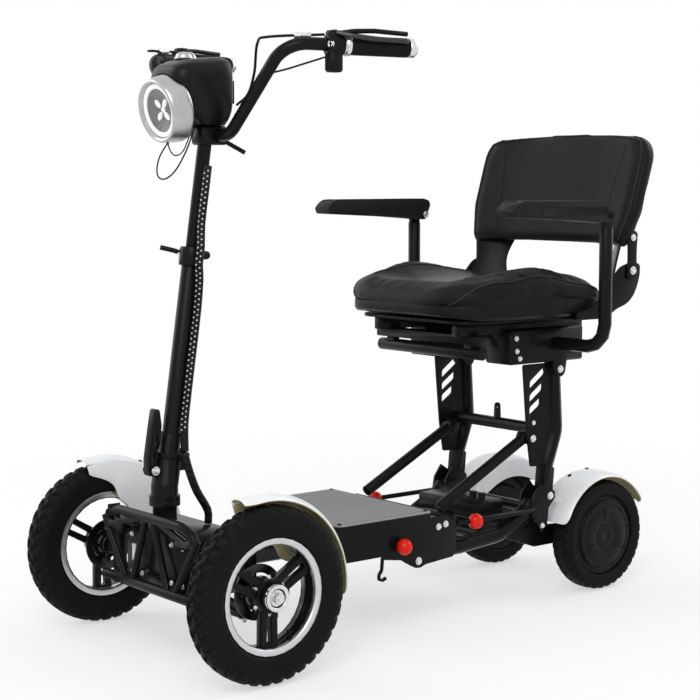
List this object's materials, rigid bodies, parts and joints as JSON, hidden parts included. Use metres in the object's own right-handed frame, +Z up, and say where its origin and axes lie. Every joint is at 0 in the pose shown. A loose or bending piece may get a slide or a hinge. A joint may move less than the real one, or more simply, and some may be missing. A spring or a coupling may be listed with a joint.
{
  "type": "folding mobility scooter",
  "caption": "Folding mobility scooter with a tilting column, a padded seat with turning armrests and backrest, spoked front wheels, hub-motor rear wheels and a low deck.",
  "frame": {"origin": "on the ground, under the middle of the whole scooter", "axes": "+Z up, +Y from the handlebar towards the backrest along the scooter, +X towards the rider's left"},
  "size_m": [0.626, 1.1949, 1.0908],
  "materials": {
    "black_paint": "satin black powder coat",
    "deck_grey": "matt grey ribbed tread",
    "black_plastic": "satin black moulding",
    "fender_white": "gloss white",
    "knob_red": "gloss red",
    "tyre_rubber": "matt",
    "black_cast": "satin black cast metal",
    "bright_alloy": "machined",
    "cable_wrap": "spiral wrapped",
    "lamp_glass": "clear",
    "grip_rubber": "matt",
    "seat_leather": "satin, piped seams"
  },
  "bodies": {
    "chassis": {"front_frame": "black_paint", "front_guard": "black_paint", "deck_frame": "black_paint", "deck_plate": "deck_grey", "rear_frame": "black_paint", "rear_axle_frame": "black_paint", "controller_box": "black_plastic", "rear_fender_l": "fender_white", "rear_fender_r": "fender_white", "lock_knob_front_l": "knob_red", "lock_knob_front_r": "knob_red", "lock_knob_rear_l": "knob_red", "lock_knob_rear_r": "knob_red"},
    "front_wheel_l": {"front_tyre_l": "tyre_rubber", "front_rim_l": "black_cast", "rim_ring_l": "bright_alloy", "front_hub_l": "bright_alloy"},
    "rear_wheel_l": {"rear_tyre_l": "tyre_rubber", "hub_motor_l": "black_cast"},
    "front_wheel_r": {"front_tyre_r": "tyre_rubber", "front_rim_r": "black_cast", "rim_ring_r": "bright_alloy", "front_hub_r": "bright_alloy"},
    "rear_wheel_r": {"rear_tyre_r": "tyre_rubber", "hub_motor_r": "black_cast"},
    "knuckle_l": {"knuckle_l": "black_cast", "front_fender_l": "fender_white"},
    "knuckle_r": {"knuckle_r": "black_cast", "front_fender_r": "fender_white"},
    "steering_head": {"steering_stem": "black_paint", "fold_latch": "black_paint", "cable_tail": "cable_wrap"},
    "tie_rod": {"tie_rod": "bright_alloy"},
    "column": {"column_lower": "black_paint", "height_clamp": "black_plastic", "cable_bundle": "cable_wrap"},
    "upper_column": {"column_upper": "black_paint", "headlamp": "bright_alloy", "lamp_lens": "lamp_glass", "console": "black_plastic"},
    "handlebar": {"handlebar": "black_paint", "grip_l": "grip_rubber", "grip_r": "grip_rubber", "brake_lever_l": "black_plastic", "brake_lever_r": "black_plastic"},
    "seat_tower": {"seat_tower": "black_paint"},
    "struts": {"strut_l": "black_paint", "strut_r": "black_paint"},
    "seat": {"seat_base": "black_paint", "armrest_post_l": "black_paint", "armrest_post_r": "black_paint", "seat_pan": "black_paint", "seat_cushion": "seat_leather"},
    "armrest_l": {"armrest_pad_l": "grip_rubber"},
    "armrest_r": {"armrest_pad_r": "grip_rubber"},
    "backrest": {"backrest_frame": "black_paint", "backrest_pad": "seat_leather"}
  },
  "joints": [
    {"name": "steering", "type": "hinge", "parent": "chassis", "child": "steering_head", "pos_m": [0, -0.47345, 0.272], "axis": [0, 0, 1], "range_deg": [-25, 25]},
    {"name": "knuckle_turn_l", "type": "hinge", "parent": "chassis", "child": "knuckle_l", "pos_m": [0.2, -0.44645, 0.151], "axis": [0, 0, 1], "range_deg": [-25, 25]},
    {"name": "knuckle_turn_r", "type": "hinge", "parent": "chassis", "child": "knuckle_r", "pos_m": [-0.2, -0.44645, 0.151], "axis": [0, 0, 1], "range_deg": [-25, 25]},
    {"name": "tie_rod_swing", "type": "hinge", "parent": "steering_head", "child": "tie_rod", "pos_m": [0, -0.41145, 0.0945], "axis": [0, 0, 1], "range_deg": [-25, 25]},
    {"name": "front_wheel_spin_l", "type": "hinge", "parent": "knuckle_l", "child": "front_wheel_l", "pos_m": [0.268, -0.44645, 0.151], "axis": [1, 0, 0], "continuous": true},
    {"name": "front_wheel_spin_r", "type": "hinge", "parent": "knuckle_r", "child": "front_wheel_r", "pos_m": [-0.268, -0.44645, 0.151], "axis": [1, 0, 0], "continuous": true},
    {"name": "rear_wheel_spin_l", "type": "hinge", "parent": "chassis", "child": "rear_wheel_l", "pos_m": [0.1515, 0.47955, 0.113], "axis": [1, 0, 0], "continuous": true},
    {"name": "rear_wheel_spin_r", "type": "hinge", "parent": "chassis", "child": "rear_wheel_r", "pos_m": [-0.1515, 0.47955, 0.113], "axis": [1, 0, 0], "continuous": true},
    {"name": "column_fold", "type": "hinge", "parent": "steering_head", "child": "column", "pos_m": [0, -0.43395, 0.352], "axis": [1, 0, 0], "range_deg": [-66, 0], "deforming": ["cable_tail"]},
    {"name": "column_slide", "type": "slide", "parent": "column", "child": "upper_column", "axis": [0, 0.1483, 0.9889], "range_m": [-0.1765, 0], "deforming": ["cable_bundle"]},
    {"name": "bar_tilt", "type": "hinge", "parent": "upper_column", "child": "handlebar", "pos_m": [0, -0.36345, 0.915], "axis": [1, 0, 0], "range_deg": [-135, 0]},
    {"name": "seat_fold", "type": "hinge", "parent": "chassis", "child": "seat_tower", "pos_m": [0, 0.34255, 0.208], "axis": [1, 0, 0], "range_deg": [0, 70]},
    {"name": "seat_level", "type": "hinge", "parent": "seat_tower", "child": "seat", "pos_m": [0, 0.36655, 0.462], "axis": [1, 0, 0], "range_deg": [-70, 0]},
    {"name": "strut_swing", "type": "hinge", "parent": "seat_tower", "child": "struts", "pos_m": [0, 0.30855, 0.325], "axis": [1, 0, 0], "range_deg": [-104, 0]},
    {"name": "backrest_fold", "type": "hinge", "parent": "seat", "child": "backrest", "pos_m": [0, 0.49655, 0.658], "axis": [1, 0, 0], "range_deg": [0, 75]},
    {"name": "armrest_turn_l", "type": "hinge", "parent": "seat", "child": "armrest_l", "pos_m": [0.28, 0.35355, 0.77], "axis": [1, 0, 0], "range_deg": [-90, 0]},
    {"name": "armrest_turn_r", "type": "hinge", "parent": "seat", "child": "armrest_r", "pos_m": [-0.28, 0.35355, 0.77], "axis": [1, 0, 0], "range_deg": [-90, 0]}
  ],
  "couplings": [
    {"joint": "knuckle_turn_l", "follows": "steering", "ratio": 1},
    {"joint": "knuckle_turn_r", "follows": "steering", "ratio": 1},
    {"joint": "tie_rod_swing", "follows": "steering", "ratio": -1},
    {"joint": "column_slide", "follows": "column_fold", "m_per_rad": 0.1528},
    {"joint": "bar_tilt", "follows": "column_fold", "ratio": 2.045},
    {"joint": "seat_level", "follows": "seat_fold", "ratio": -1},
    {"joint": "strut_swing", "follows": "seat_fold", "ratio": -1.473}
  ]
}
